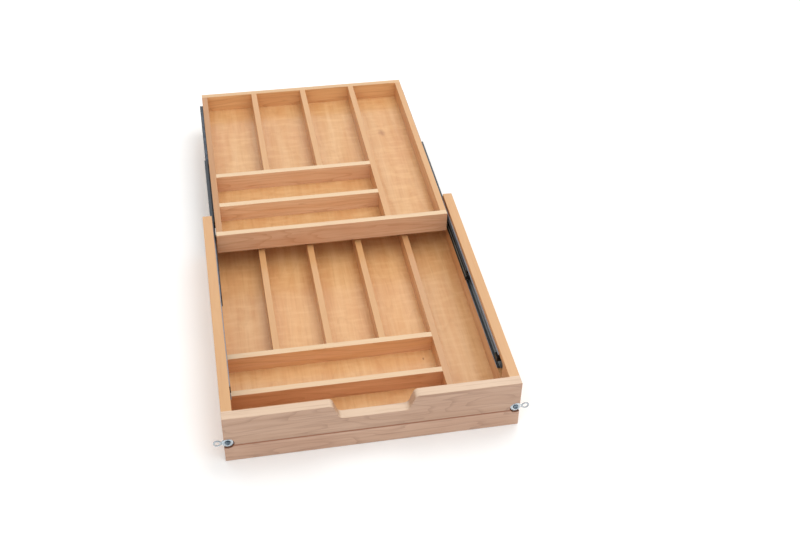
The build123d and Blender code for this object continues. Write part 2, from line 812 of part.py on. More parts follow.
# Hardware, right and left.
hardware = {
    "slide_outer_member": outer_member,
    "slide_bumper": bumper,
    "slide_intermediate_member": intermediate_member,
    "intermediate_nose": intermediate_nose,
    "slide_inner_member": inner_member,
    "outer_ball_cage": outer_cage,
    "inner_ball_cage": inner_cage,
    "release_lever": release_lever,
    "eye_plate": eye_plate,
}
for name, shape in hardware.items():
    pieces[f"{name}_right"] = shape
    pieces[f"{name}_left"] = mirrored(shape)
pieces["outer_balls_right"] = group(outer_balls)
pieces["inner_balls_right"] = group(inner_balls)
pieces["outer_balls_left"] = group(mirrored(ball) for ball in outer_balls)
pieces["inner_balls_left"] = group(mirrored(ball) for ball in inner_balls)
fasteners = {
    "outer_member_screws": outer_screws,
    "inner_member_screws": inner_screws,
    "lever_rivets": [lever_rivet],
    "eye_screws": [eye_screw],
}
for name, shapes in fasteners.items():
    pieces[name] = group([*shapes, *[mirrored(shape) for shape in shapes]])

os.makedirs("parts", exist_ok=True)
for name, shape in pieces.items():
    export_step(shape, f"parts/{name}.step")
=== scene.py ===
import math

import bmesh
import bpy
from mathutils import Matrix, Vector


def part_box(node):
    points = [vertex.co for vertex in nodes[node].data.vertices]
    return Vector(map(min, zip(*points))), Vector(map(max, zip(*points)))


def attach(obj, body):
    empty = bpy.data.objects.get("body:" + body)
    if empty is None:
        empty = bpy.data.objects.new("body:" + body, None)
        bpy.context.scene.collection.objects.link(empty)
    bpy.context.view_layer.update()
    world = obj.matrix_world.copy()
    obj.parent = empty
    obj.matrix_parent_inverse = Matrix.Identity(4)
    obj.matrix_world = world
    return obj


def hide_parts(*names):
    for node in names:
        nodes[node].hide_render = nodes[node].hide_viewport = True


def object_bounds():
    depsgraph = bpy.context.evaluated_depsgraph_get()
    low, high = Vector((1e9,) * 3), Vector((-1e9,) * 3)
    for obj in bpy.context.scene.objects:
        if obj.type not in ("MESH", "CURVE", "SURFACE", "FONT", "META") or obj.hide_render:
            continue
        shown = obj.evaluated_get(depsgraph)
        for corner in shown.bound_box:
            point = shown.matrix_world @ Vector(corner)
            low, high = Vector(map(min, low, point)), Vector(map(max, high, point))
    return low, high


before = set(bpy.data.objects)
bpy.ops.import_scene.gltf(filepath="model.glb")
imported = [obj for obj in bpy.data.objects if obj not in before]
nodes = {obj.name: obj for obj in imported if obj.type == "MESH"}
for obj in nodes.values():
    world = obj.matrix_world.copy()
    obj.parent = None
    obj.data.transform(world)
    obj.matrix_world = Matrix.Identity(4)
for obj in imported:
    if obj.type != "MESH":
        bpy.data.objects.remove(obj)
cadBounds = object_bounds()
scene = bpy.context.scene
print("frame loaded:", len(nodes), "nodes")

mm = 0.001

# measures that finishes and hardware are placed by
outerLow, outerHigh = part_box("slide_outer_member_right")
slideMiddle = (outerLow.z + outerHigh.z) / 2
plateLow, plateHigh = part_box("eye_plate_right")
plateMiddle = (plateLow.z + plateHigh.z) / 2
discRadius = (plateHigh.z - plateLow.z) / 2
discCentre = plateLow.x + discRadius
ringRadius = 7.2 * mm
ringCentre = plateHigh.x - ringRadius
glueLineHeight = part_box("drawer_front_lower_board")[1].z


def linear(hexColour):
    # sRGB hex to linear RGBA
    parts = [int(hexColour[i:i + 2], 16) / 255 for i in (1, 3, 5)]
    return [p / 12.92 if p <= 0.04045 else ((p + 0.055) / 1.055) ** 2.4 for p in parts] + [1]


def addNode(tree, kind, inputs=None, ramp=None, **settings):
    node = tree.nodes.new(kind)
    for key, value in settings.items():
        setattr(node, key, value)
    for key, value in (inputs or {}).items():
        if isinstance(value, bpy.types.NodeSocket):
            tree.links.new(value, node.inputs[key])
        else:
            node.inputs[key].default_value = value
    if ramp:
        elements = node.color_ramp.elements
        while len(elements) > 1:
            elements.remove(elements[-1])
        elements[0].position = ramp[0][0]
        for place, tone in ramp:
            element = elements[0] if place == ramp[0][0] else elements.new(place)
            element.color = linear(tone) if isinstance(tone, str) else (tone, tone, tone, 1)
    return node


def newMaterial(name):
    material = bpy.data.materials.new(name)
    material.use_nodes = True
    tree = material.node_tree
    tree.nodes.clear()
    output = tree.nodes.new("ShaderNodeOutputMaterial")
    return material, tree, output


def dress(nodeName, material):
    # a CAD node keeps its shape and only takes a finish
    mesh = nodes[nodeName].data
    mesh.materials.clear()
    mesh.materials.append(material)


def stain(tree, colour, tone, value, start, end, amounts):
    # works a tone into the colour as a value runs from start to end
    amount = addNode(tree, "ShaderNodeMapRange", {
        "Value": value, "From Min": start, "From Max": end, "To Min": amounts[0], "To Max": amounts[1],
    }).outputs["Result"]
    return addNode(tree, "ShaderNodeMix", {
        0: amount, 6: colour, 7: linear(tone),
    }, data_type="RGBA").outputs[2]


def reachFrom(tree, coordinate, centre):
    # distance in x and z from a centre on the right, and from its mirror on the left
    apart = addNode(tree, "ShaderNodeSeparateXYZ", {0: coordinate}).outputs
    outward = addNode(tree, "ShaderNodeMath", {0: apart["X"]}, operation="ABSOLUTE").outputs[0]
    flat = addNode(tree, "ShaderNodeCombineXYZ", {"X": outward, "Z": apart["Z"]}).outputs[0]
    x, z = centre
    return addNode(tree, "ShaderNodeVectorMath", {
        0: flat, 1: (x, 0, z),
    }, operation="DISTANCE").outputs["Value"]


def raisedOver(tree, coordinate, height):
    upward = addNode(tree, "ShaderNodeSeparateXYZ", {0: coordinate}).outputs["Z"]
    return addNode(tree, "ShaderNodeMath", {0: upward, 1: height}, operation="SUBTRACT").outputs[0]


def awayFrom(tree, coordinate, height):
    raised = raisedOver(tree, coordinate, height)
    return addNode(tree, "ShaderNodeMath", {0: raised}, operation="ABSOLUTE").outputs[0]


# Hard maple boards, planed and sanded, under a satin catalysed lacquer: pale straw between brown growth
# lines, short silky fibre marks, and a thin coat that picks up the light from behind. A board's own look
# changes some of these values.
maple = {
    "pale": "#e6b680",
    "honey": "#d69d64",
    "line": "#ab6b3a",        # growth lines and fibre marks
    "blushTone": "#cf8f62",
    "blush": 0.3,
    "top": "#dabd98",         # painted highlight on upward faces
    "topAmount": 0.4,
    "figure": 0.22,           # strength of the growth lines
    "fibre": 0.22,            # strength of the fibre marks
    "layers": 12,             # growth lines in one hill
    "archScale": 24,
    "archStretch": 9,
    "streakWidth": 7 * mm,
    "streakStretch": 18,
    "fibreWidth": 1.6 * mm,   # real fibres are 0.3 mm, drawn coarser so they show
    "fibreStretch": 26,
    "slant": 0.01,            # no board is sawn quite along its grain
    "roughness": (0.34, 0.5),
    "relief": 0.6 * mm,
    "coat": 0.55,
    "knotTone": "#8f5a33",
    # painted shade round the eye plates' pockets
    "pocketShadeTone": "#70381d",
    # painted shade in the V between the front boards
    "glueLineTone": "#8f552f",
}


def growthLines(tree, colour, stretched, look):
    # a long smooth hill cut into contour lines, which close into arches on a flat-sawn face
    hill = addNode(tree, "ShaderNodeTexNoise", {
        "Vector": stretched(look["archStretch"]), "Scale": look["archScale"],
        "Detail": 3, "Roughness": 0.36,
    }).outputs["Fac"]
    layers = addNode(tree, "ShaderNodeMath", {0: hill, 1: look["layers"]}, operation="MULTIPLY").outputs[0]
    rings = addNode(tree, "ShaderNodeMath", {0: layers}, operation="FRACT").outputs[0]
    # the last quarter of each layer is its darker late wood
    return stain(tree, colour, look["line"], rings, 0.72, 0.98, (0, look["figure"]))


def paintedTopLight(tree, colour, facing, fibre, look):
    # painted highlight: faces turned upward come out paler, as if lit from above, speckled where fibres
    # break the surface
    upward = addNode(tree, "ShaderNodeSeparateXYZ", {0: facing}).outputs["Z"]
    level = addNode(tree, "ShaderNodeMapRange", {
        "Value": upward, "From Min": 0.2, "From Max": 0.9, "To Min": 0.0, "To Max": look["topAmount"],
    }).outputs["Result"]
    speckle = addNode(tree, "ShaderNodeMapRange", {
        "Value": fibre, "From Min": 0.5, "From Max": 0.8, "To Min": 1.0, "To Max": 1 - 1.6 * look["fibre"],
    }).outputs["Result"]
    amount = addNode(tree, "ShaderNodeMath", {0: level, 1: speckle}, operation="MULTIPLY").outputs[0]
    return addNode(tree, "ShaderNodeMix", {
        0: amount, 6: colour, 7: linear(look["top"]),
    }, data_type="RGBA").outputs[2]


def raggedKnot(tree, colour, coordinate, grain, knot):
    # longer along the grain, with a ragged edge
    centre, radius, depth = knot
    offset = addNode(tree, "ShaderNodeVectorMath", {
        0: coordinate, 1: centre,
    }, operation="SUBTRACT").outputs[0]
    wobble = addNode(tree, "ShaderNodeTexNoise", {
        "Vector": coordinate, "Scale": 0.9 / radius, "Detail": 3,
    }).outputs["Fac"]
    shape = (1, 0.55, 0.3) if grain == "Y" else (0.55, 1, 0.3)
    squeezed = addNode(tree, "ShaderNodeVectorMath", {0: offset, 1: shape}, operation="MULTIPLY").outputs[0]
    reach = addNode(tree, "ShaderNodeVectorMath", {0: squeezed}, operation="LENGTH").outputs["Value"]
    ragged = addNode(tree, "ShaderNodeMath", {0: wobble, 1: 0.9 * radius}, operation="MULTIPLY").outputs[0]
    spread = addNode(tree, "ShaderNodeMath", {0: reach, 1: ragged}, operation="ADD").outputs[0]
    return stain(tree, colour, maple["knotTone"], spread, 0.7 * radius, 1.5 * radius, (depth, 0))


def makeMaple(name, grain, seed, look):
    look = {**maple, **look}
    material, tree, output = newMaterial(name)
    coordinate = addNode(tree, "ShaderNodeTexCoord").outputs["Object"]
    facing = addNode(tree, "ShaderNodeNewGeometry").outputs["Normal"]
    slant = look["slant"]
    # each seed is another place in the log
    placed = addNode(tree, "ShaderNodeMapping", {
        "Vector": coordinate,
        "Location": (seed * 0.37, seed * 0.61, seed * 0.23),
        "Rotation": (0, 0, slant) if grain == "Y" else (slant / 2, 0, slant),
    }).outputs["Vector"]

    def stretched(factor):
        scale = (1, 1 / factor, 1) if grain == "Y" else (1 / factor, 1, 1)
        return addNode(tree, "ShaderNodeMapping", {"Vector": placed, "Scale": scale}).outputs["Vector"]

    streak = addNode(tree, "ShaderNodeTexNoise", {
        "Vector": stretched(look["streakStretch"]), "Scale": 0.5 / look["streakWidth"],
        "Detail": 5, "Roughness": 0.62,
    }).outputs["Fac"]
    fibre = addNode(tree, "ShaderNodeTexNoise", {
        "Vector": stretched(look["fibreStretch"]), "Scale": 0.5 / look["fibreWidth"],
        "Detail": 2, "Roughness": 0.5,
    }).outputs["Fac"]
    blotch = addNode(tree, "ShaderNodeTexNoise", {
        "Vector": stretched(2.6), "Scale": 16, "Detail": 2, "Roughness": 0.5,
    }).outputs["Fac"]
    colour = addNode(tree, "ShaderNodeValToRGB", {"Fac": streak}, ramp=[
        (0.3, look["honey"]), (0.68, look["pale"]),
    ]).outputs["Color"]
    colour = stain(tree, colour, look["blushTone"], blotch, 0.45, 0.75, (0, look["blush"]))
    colour = growthLines(tree, colour, stretched, look)
    colour = stain(tree, colour, look["line"], fibre, 0.5, 0.8, (0, look["fibre"]))
    if "ripple" in look:
        # rotary-cut veneer shimmers in short bands across its grain
        bands = addNode(tree, "ShaderNodeTexNoise", {
            "Vector": stretched(0.3), "Scale": 26, "Detail": 3, "Roughness": 0.55,
        }).outputs["Fac"]
        colour = stain(tree, colour, look["rippleTone"], bands, 0.46, 0.7, (0, look["ripple"]))
    # painted highlight on the upward faces
    colour = paintedTopLight(tree, colour, facing, fibre, look)
    for knot in look.get("knots", ()):
        colour = raggedKnot(tree, colour, coordinate, grain, knot)
    if "inside" in look:
        # the face inside the drawer takes back the honey tone of the other boards, so the painted grey
        # shade stays on the outer faces
        inward = addNode(tree, "ShaderNodeSeparateXYZ", {0: facing}).outputs["Y"]
        colour = stain(tree, colour, look["inside"], inward, 0.3, 0.8, (0, 0.75))
    if "pocketRadius" in look:
        # wood bored for the eye plates, with painted shade in a ring round each pocket
        reach = reachFrom(tree, coordinate, (discCentre, plateMiddle))
        rim = look["pocketRadius"]
        colour = stain(tree, colour, look["pocketShadeTone"], reach, rim, rim + 0.9 * mm, (0.85, 0))
    if "glueLine" in look:
        # painted shade in the V between the two front boards
        away = awayFrom(tree, coordinate, look["glueLine"])
        colour = stain(tree, colour, look["glueLineTone"], away, 1.2 * mm, 2.4 * mm, (0.95, 0))
    smooth, coarse = look["roughness"]
    roughness = addNode(tree, "ShaderNodeMapRange", {
        "Value": streak, "From Min": 0.3, "From Max": 0.7, "To Min": coarse, "To Max": smooth,
    }).outputs["Result"]
    relief = addNode(tree, "ShaderNodeMath", {0: fibre, 1: streak}, operation="ADD").outputs[0]
    bump = addNode(tree, "ShaderNodeBump", {
        "Height": relief, "Strength": 0.12, "Distance": look["relief"],
    }).outputs["Normal"]
    shader = addNode(tree, "ShaderNodeBsdfPrincipled", {
        "Base Color": colour, "Roughness": roughness, "IOR": 1.48, "Normal": bump,
        "Coat Weight": look["coat"], "Coat Roughness": 0.2, "Coat IOR": 1.52,
    })
    tree.links.new(shader.outputs["BSDF"], output.inputs["Surface"])
    return material


def knotOn(panelNode, shareX, shareY, radius, depth):
    # a knot at a share of a panel's width and length, on its upper face
    low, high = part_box(panelNode)
    centre = (low.x + shareX * (high.x - low.x), low.y + shareY * (high.y - low.y), high.z)
    return centre, radius, depth


# front boards: a greyer, pinker tone, painted shade for the dim light on their front faces
frontLook = {
    "pale": "#bb987f", "honey": "#ab866c", "line": "#7a523a", "blushTone": "#aa7e66", "blush": 0.4,
    "figure": 0.3, "fibre": 0.34, "top": "#d6b99c", "topAmount": 0.85, "archScale": 19, "archStretch": 6,
    "glueLine": glueLineHeight, "inside": "#cf9c68", "pocketRadius": discRadius + 1.5 * mm,
}
# boards that run across, and boards that run from front to back, these in a darker, redder tone: painted
# shade for the way their grain takes the light
acrossLook = {"top": "#d8bc96", "topAmount": 0.85, "figure": 0.32, "fibre": 0.3}
alongLook = {
    "pale": "#d7a470", "honey": "#c68b58", "top": "#c99a66", "topAmount": 0.8,
    "figure": 0.32, "fibre": 0.34,
}
# maple-faced plywood panels
panelLook = {
    "pale": "#deb07a", "honey": "#d29b62", "line": "#b07238", "blushTone": "#cf935f", "blush": 0.45,
    "figure": 0.13, "topAmount": 0, "archScale": 11, "archStretch": 4, "layers": 9, "coat": 0.45,
    "ripple": 0.3, "rippleTone": "#ebc28c",
}
lowerPanelKnots = [knotOn("drawer_bottom", 0.747, 0.295, 2.2 * mm, 0.8)]
upperPanelKnots = [
    knotOn("tray_bottom", 0.859, 0.7, 9 * mm, 0.5),
    knotOn("tray_bottom", 0.609, 0.488, 6 * mm, 0.45),
]
# each board: axis of its grain, place in the log, look
boards = {
    "drawer_front_upper_board": ("X", 1.3, {**frontLook, "layers": 13}),
    "drawer_front_lower_board": ("X", 4.1, {
        **frontLook, "pale": "#c5a188", "honey": "#b58f75", "layers": 11,
    }),
    "drawer_side_left": ("Y", 2.2, alongLook),
    "drawer_side_right": ("Y", 3.7, alongLook),
    "drawer_back_rail": ("X", 5.9, acrossLook),
    "drawer_bottom": ("Y", 6.4, {**panelLook, "knots": lowerPanelKnots}),
    "drawer_long_divider_1": ("Y", 7.3, alongLook),
    "drawer_long_divider_2": ("Y", 8.8, {**alongLook, "honey": "#c48753", "layers": 16}),
    "drawer_long_divider_3": ("Y", 9.1, alongLook),
    "drawer_long_divider_4": ("Y", 10.6, {**alongLook, "top": "#bf8f60", "blush": 0.5}),
    "drawer_cross_divider_front": ("X", 11.2, {**acrossLook, "pale": "#dca479", "honey": "#c98c60"}),
    "drawer_cross_divider_rear": ("X", 12.5, {**acrossLook, "pale": "#e0aa7d", "layers": 9}),
    "tray_front": ("X", 13.4, {**acrossLook, "pale": "#dfb694", "honey": "#cf9e7b", "blush": 0.45}),
    "tray_back": ("X", 14.9, {**acrossLook, "top": "#c9a377", "blush": 0.5}),
    "tray_side_left": ("Y", 15.2, {**alongLook, "top": "#a97645"}),
    "tray_side_right": ("Y", 16.7, alongLook),
    "tray_bottom": ("Y", 17.5, {
        **panelLook, "pale": "#d7ab77", "honey": "#cc985f", "knots": upperPanelKnots,
    }),
    "tray_long_divider_1": ("Y", 18.3, {**alongLook, "honey": "#c2834e", "layers": 17}),
    "tray_long_divider_2": ("Y", 19.9, alongLook),
    "tray_long_divider_3": ("Y", 20.4, alongLook),
    "tray_cross_divider_front": ("X", 21.8, {
        **acrossLook, "pale": "#e8c09a", "honey": "#d9a578", "layers": 15,
    }),
    "tray_cross_divider_rear": ("X", 22.6, {**acrossLook, "pale": "#e6bd98", "honey": "#d8a67c"}),
}
for boardName, (grain, seed, look) in boards.items():
    dress(boardName, makeMaple("lacqueredMaple_" + boardName, grain, seed, look))
# turned dowels, left bare
dowelFinish = makeMaple("sandedBeechDowel", "Y", 30.0, {"coat": 0.0, "figure": 0.1})
for dowelNode in ("drawer_dowels", "tray_dowels"):
    dress(dowelNode, dowelFinish)
print("boards finished:", len(boards))


# Metals and plastics of the slides and eye plates
def makeMetal(name, look):
    material, tree, output = newMaterial(name)
    coordinate = addNode(tree, "ShaderNodeTexCoord").outputs["Object"]
    drawn = addNode(tree, "ShaderNodeMapping", {
        "Vector": coordinate, "Scale": look.get("stretch", (1, 1, 1)),
    }).outputs["Vector"]
    marks = addNode(tree, "ShaderNodeTexNoise", {
        "Vector": drawn, "Scale": look["markScale"], "Detail": 4, "Roughness": 0.6,
    }).outputs["Fac"]
    clouds = addNode(tree, "ShaderNodeTexNoise", {
        "Vector": coordinate, "Scale": 90, "Detail": 3,
    }).outputs["Fac"]
    tone = addNode(tree, "ShaderNodeValToRGB", {"Fac": clouds}, ramp=[
        (0.35, look["dark"]), (0.65, look["light"]),
    ]).outputs["Color"]
    if "across" in look:
        # painted highlights and painted shade by distance from the groove's back, one ramp unit to 10 mm
        sideways = addNode(tree, "ShaderNodeSeparateXYZ", {0: coordinate}).outputs["X"]
        outward = addNode(tree, "ShaderNodeMath", {0: sideways}, operation="ABSOLUTE").outputs[0]
        depth = addNode(tree, "ShaderNodeMath", {
            0: outerHigh.x, 1: outward,
        }, operation="SUBTRACT").outputs[0]
        share = addNode(tree, "ShaderNodeMath", {0: depth, 1: 100}, operation="MULTIPLY").outputs[0]
        lines = addNode(tree, "ShaderNodeValToRGB", {"Fac": share}, ramp=look["across"]).outputs["Color"]
        tone = addNode(tree, "ShaderNodeMix", {0: 0.85, 6: tone, 7: lines}, data_type="RGBA").outputs[2]
    if "cap" in look:
        # the upper flange gets none of the painted highlights and keeps its plain tone
        raised = raisedOver(tree, coordinate, slideMiddle)
        tone = stain(tree, tone, look["cap"], raised, 6 * mm, 7 * mm, (0, 1))
    if "bead" in look:
        # painted highlight along the middle of the web
        away = awayFrom(tree, coordinate, slideMiddle)
        tone = stain(tree, tone, look["bead"], away, 1.4 * mm, 2.8 * mm, (0.9, 0))
    for centre, steps in look.get("steps", ()):
        # painted shade and painted dark reflections in the pressed steps round a centre, one ramp unit to
        # 10 mm
        reach = reachFrom(tree, coordinate, centre)
        share = addNode(tree, "ShaderNodeMath", {0: reach, 1: 100}, operation="MULTIPLY").outputs[0]
        unshadedShare = addNode(tree, "ShaderNodeValToRGB", {"Fac": share}, ramp=steps).outputs["Color"]
        tone = addNode(tree, "ShaderNodeMix", {
            0: unshadedShare, 6: linear("#33414d"), 7: tone,
        }, data_type="RGBA").outputs[2]
    polished, dull = look["roughness"]
    roughness = addNode(tree, "ShaderNodeMapRange", {
        "Value": marks, "From Min": 0.3, "From Max": 0.7, "To Min": polished, "To Max": dull,
    }).outputs["Result"]
    bump = addNode(tree, "ShaderNodeBump", {
        "Height": marks, "Strength": look.get("bump", 0.1), "Distance": 0.2 * mm,
    }).outputs["Normal"]
    shader = addNode(tree, "ShaderNodeBsdfPrincipled", {
        "Base Color": tone, "Metallic": look["metallic"], "Roughness": roughness, "Normal": bump,
        "Coat Weight": look.get("coat", 0.0), "Coat Roughness": 0.2,
    })
    tree.links.new(shader.outputs["BSDF"], output.inputs["Surface"])
    return material


alongMember = (1, 0.05, 1)   # drawn marks run the length of a member
metals = {
    # roll-formed steel under a thin black electrocoat, with painted highlights where the bend beside
    # the web and the proud lips catch the light, and painted shade on the web
    "coatedSteelChannel": {
        "dark": "#6f7477", "light": "#868b8e", "metallic": 0.75, "roughness": (0.24, 0.38),
        "stretch": alongMember, "markScale": 900, "coat": 0.2,
        "across": [
            (0, "#4a4c4b"), (0.112, "#4a4c4b"), (0.135, "#c3c8cb"), (0.26, "#b4b9bc"), (0.34, "#666b6e"),
            (0.7, "#5d6265"), (0.78, "#9aa3b0"),
        ],
    },
    # the same steel, near black, with painted warm grey highlights along the middle and along the folds
    "blackChannelPaintedHighlights": {
        "dark": "#34353a", "light": "#4b4d52", "metallic": 0.7, "roughness": (0.24, 0.4),
        "stretch": alongMember, "markScale": 900,
        "across": [
            (0, "#4d545b"), (0.4, "#4d545b"), (0.45, "#33312e"), (0.55, "#47443e"), (0.66, "#bdb8ab"),
            (0.76, "#bdb8ab"), (0.86, "#47443e"),
        ],
        "bead": "#a9a59a", "cap": "#454b51",
    },
    # inner member, bluish from its passivated zinc, with a painted highlight along the middle
    "passivatedChannel": {
        "dark": "#46505c", "light": "#5d6874", "metallic": 0.75, "roughness": (0.22, 0.38),
        "stretch": alongMember, "markScale": 900, "bead": "#98a5b3",
    },
    # pressed strip steel of the cages, warmer and duller
    "pressedStripSteel": {
        "dark": "#8f8d86", "light": "#b5b2a8", "metallic": 1.0, "roughness": (0.3, 0.5), "markScale": 700,
    },
    # ground and polished bearing steel
    "polishedBearingSteel": {
        "dark": "#c2c4c6", "light": "#dcdddd", "metallic": 1.0, "roughness": (0.05, 0.12),
        "markScale": 500, "bump": 0.02,
    },
    # die-pressed plate, bright zinc plated and tumbled: silvery blue, slightly cloudy, with painted shade
    # in the steps
    "brightZincPlate": {
        "dark": "#cfdde6", "light": "#f0f6f9", "metallic": 0.6, "roughness": (0.14, 0.3), "markScale": 600,
        "steps": [
            ((discCentre, plateMiddle), [
                (0.44, 1), (0.49, 0.12), (0.56, 1), (0.72, 1), (0.77, 0.2), (0.83, 1), (0.93, 1),
                (0.97, 0.3), (1, 0.66),
            ]),
            ((ringCentre, plateMiddle), [(0.42, 0.5), (0.49, 1), (0.64, 1), (0.71, 0.5), (0.76, 1)]),
        ],
    },
    # cold-headed screws, dull zinc
    "headedScrewSteel": {
        "dark": "#77797c", "light": "#9a9c9e", "metallic": 1.0, "roughness": (0.28, 0.45), "markScale": 800,
    },
    # the eye plates' turned screws, blue-grey and brighter
    "steppedScrewHead": {
        "dark": "#4c5a66", "light": "#8fa0ad", "metallic": 1.0, "roughness": (0.2, 0.34), "markScale": 900,
    },
    # moulded black acetal: matt with a faint moulded grain
    "mouldedBlackAcetal": {
        "dark": "#0c0c0d", "light": "#151516", "metallic": 0.0, "roughness": (0.45, 0.6), "markScale": 1500,
        "bump": 0.2,
    },
}
hardwareFinish = {name: makeMetal(name, look) for name, look in metals.items()}
slideFinishes = {
    "slide_outer_member": "coatedSteelChannel",
    "slide_intermediate_member": "blackChannelPaintedHighlights",
    "slide_inner_member": "passivatedChannel",
    "slide_bumper": "mouldedBlackAcetal",
    "intermediate_nose": "mouldedBlackAcetal",
    "release_lever": "mouldedBlackAcetal",
    "outer_ball_cage": "pressedStripSteel",
    "inner_ball_cage": "pressedStripSteel",
}
for slideNode, finishName in slideFinishes.items():
    for side in ("left", "right"):
        dress(f"{slideNode}_{side}", hardwareFinish[finishName])
for fastener in ("lever_rivets", "drawer_bottom_brads", "tray_bottom_brads"):
    dress(fastener, hardwareFinish["headedScrewSteel"])
dress("eye_screws", hardwareFinish["steppedScrewHead"])
print("hardware finished:", len(hardwareFinish))


def newPiece(name, mesh, material):
    mesh.materials.clear()
    mesh.materials.append(material)
    piece = bpy.data.objects.new(name, mesh)
    scene.collection.objects.link(piece)
    return piece


def closeSeams(mesh):
    shape = bmesh.new()
    shape.from_mesh(mesh)
    bmesh.ops.remove_doubles(shape, verts=shape.verts, dist=1e-6)
    bmesh.ops.recalc_face_normals(shape, faces=shape.faces)
    for face in shape.faces:
        face.smooth = True
    for edge in shape.edges:
        if len(edge.link_faces) == 2 and edge.calc_face_angle(0) > 0.6:
            edge.smooth = False
    shape.to_mesh(mesh)
    shape.free()


def turnRound(profile, steps, closed):
    # turns (radius, depth) points round +Y
    vertices = []
    faces = []
    count = len(profile)
    for step in range(steps):
        angle = 2 * math.pi * step / steps
        for radius, depth in profile:
            vertices.append((radius * math.cos(angle), depth, radius * math.sin(angle)))
        following = (step + 1) % steps
        for i in range(count if closed else count - 1):
            j = (i + 1) % count
            faces.append((step * count + i, step * count + j, following * count + j, following * count + i))
    return vertices, faces


def joinShells(name, shells):
    # shells: vertices, faces, offset
    allVertices = []
    allFaces = []
    for vertices, faces, offset in shells:
        start = len(allVertices)
        allVertices += [tuple(Vector(vertex) + Vector(offset)) for vertex in vertices]
        allFaces += [tuple(start + index for index in face) for face in faces]
    mesh = bpy.data.meshes.new(name)
    mesh.from_pydata(allVertices, [], allFaces)
    closeSeams(mesh)
    return mesh


def evaluated(holder):
    # the holder's modifiers worked out into a plain mesh
    bpy.context.view_layer.update()
    graph = bpy.context.evaluated_depsgraph_get()
    return bpy.data.meshes.new_from_object(holder.evaluated_get(graph))


def discard(*objects):
    for item in objects:
        bpy.data.objects.remove(item)


# Eye plates: dish with a pressed bead round the screw, waisted neck, round-edged ring
eyePlate = {
    "thickness": 1.9 * mm,
    "bore": 2.35 * mm,
    "dishRadius": 7.6 * mm,
    "dishDepth": 0.45 * mm,
    "beadInside": 5.3 * mm,
    "beadOutside": 6.4 * mm,
    "beadHeight": 0.25 * mm,
    "rimSoftness": 0.7 * mm,
    "ringHole": 4.2 * mm,
    "neckStart": (8.6 * mm, 4.4 * mm),    # distance from the disc's centre, half width
    "neckWaist": (10.2 * mm, 3.5 * mm),
    "neckSlim": (-6.6 * mm, 3.2 * mm),    # distance from the ring's centre, half width
    "neckEnd": (-5.4 * mm, 3.5 * mm),
}


def discProfile():
    thick = eyePlate["thickness"]
    dish = eyePlate["dishDepth"]
    wall = eyePlate["dishRadius"]
    inside = eyePlate["beadInside"]
    outside = eyePlate["beadOutside"]
    crest = dish - eyePlate["beadHeight"]
    return [
        (eyePlate["bore"], thick), (eyePlate["bore"], dish),
        (inside, dish), (inside + 0.3 * mm, crest), (outside - 0.3 * mm, crest), (outside, dish),
        (wall - 0.4 * mm, dish), (wall - 0.1 * mm, 0.1 * mm), (wall + 0.2 * mm, 0),
        (discRadius - eyePlate["rimSoftness"], 0), (discRadius - 0.25 * mm, 0.15 * mm),
        (discRadius, 0.55 * mm), (discRadius, thick - 0.3 * mm), (discRadius - 0.3 * mm, thick),
    ]


def ringProfile(steps=16, squareness=0.7):
    # an oval with flattened sides
    middle = (eyePlate["ringHole"] + ringRadius) / 2
    halfWidth = (ringRadius - eyePlate["ringHole"]) / 2
    halfThick = eyePlate["thickness"] / 2
    points = []
    for step in range(steps):
        angle = 2 * math.pi * step / steps
        across = math.copysign(abs(math.cos(angle)) ** squareness, math.cos(angle))
        deep = math.copysign(abs(math.sin(angle)) ** squareness, math.sin(angle))
        points.append((middle + halfWidth * across, halfThick + halfThick * deep))
    return points


def neckShell():
    # sections from the disc to the ring, measured from the disc's centre
    thick = eyePlate["thickness"]
    toRing = ringCentre - discCentre
    stations = [
        eyePlate["neckStart"],
        eyePlate["neckWaist"],
        (toRing + eyePlate["neckSlim"][0], eyePlate["neckSlim"][1]),
        (toRing + eyePlate["neckEnd"][0], eyePlate["neckEnd"][1]),
    ]
    section = [
        (-1, 0.35), (-0.85, 0.12), (0.85, 0.12), (1, 0.35), (1, 0.8), (0.9, 0.95), (-0.9, 0.95), (-1, 0.8),
    ]
    count = len(section)
    vertices = [(x, deep * thick, wide * half) for x, half in stations for wide, deep in section]
    faces = []
    for station in range(len(stations) - 1):
        start = station * count
        for i in range(count):
            j = (i + 1) % count
            faces.append((start + i, start + j, start + count + j, start + count + i))
    faces += [tuple(range(count)), tuple(range(len(vertices) - count, len(vertices)))]
    return vertices, faces


def makeEyePlate():
    discPlace = (discCentre, plateLow.y, plateMiddle)
    ringPlace = (ringCentre, plateLow.y, plateMiddle)
    return joinShells("eyePlateShape", [
        (*turnRound(discProfile(), 64, True), discPlace),
        (*turnRound(ringProfile(), 48, True), ringPlace),
        (*neckShell(), discPlace),
    ])


for side in ("right", "left"):
    plateMesh = makeEyePlate()
    if side == "left":
        plateMesh.transform(Matrix.Scale(-1, 4, (1, 0, 0)))
        closeSeams(plateMesh)
    plate = newPiece(f"eyePlate_{side}", plateMesh, hardwareFinish["brightZincPlate"])
    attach(plate, f"eye_{side}")
    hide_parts(f"eye_plate_{side}")
print("eye plates made")


# Screws: domed head with a cross recess, ringed shank
screwShape = {
    "dome": [(0, 0), (0.5, 0.04), (0.8, 0.22), (0.95, 0.5), (1, 0.8), (0.97, 1)],   # shares of the head
    "recessArm": 0.55,        # share of the head's radius
    "recessWidth": 0.13,
    "recessDepth": 0.55,      # share of the head's height
    "shankRadius": 1.75 * mm,
    "rootShare": 0.78,        # shares of the shank's radius
    "tipShare": 0.6,
    "pitch": 1.4 * mm,
}


def makeRecessCutter(wide, deep, high):
    mesh = bpy.data.meshes.new("recess")
    shape = bmesh.new()
    bmesh.ops.create_cube(shape, size=2)
    bmesh.ops.transform(shape, verts=shape.verts, matrix=Matrix.Diagonal((wide, deep, high, 1)))
    shape.to_mesh(mesh)
    shape.free()
    cutter = bpy.data.objects.new("recess", mesh)
    scene.collection.objects.link(cutter)
    return cutter


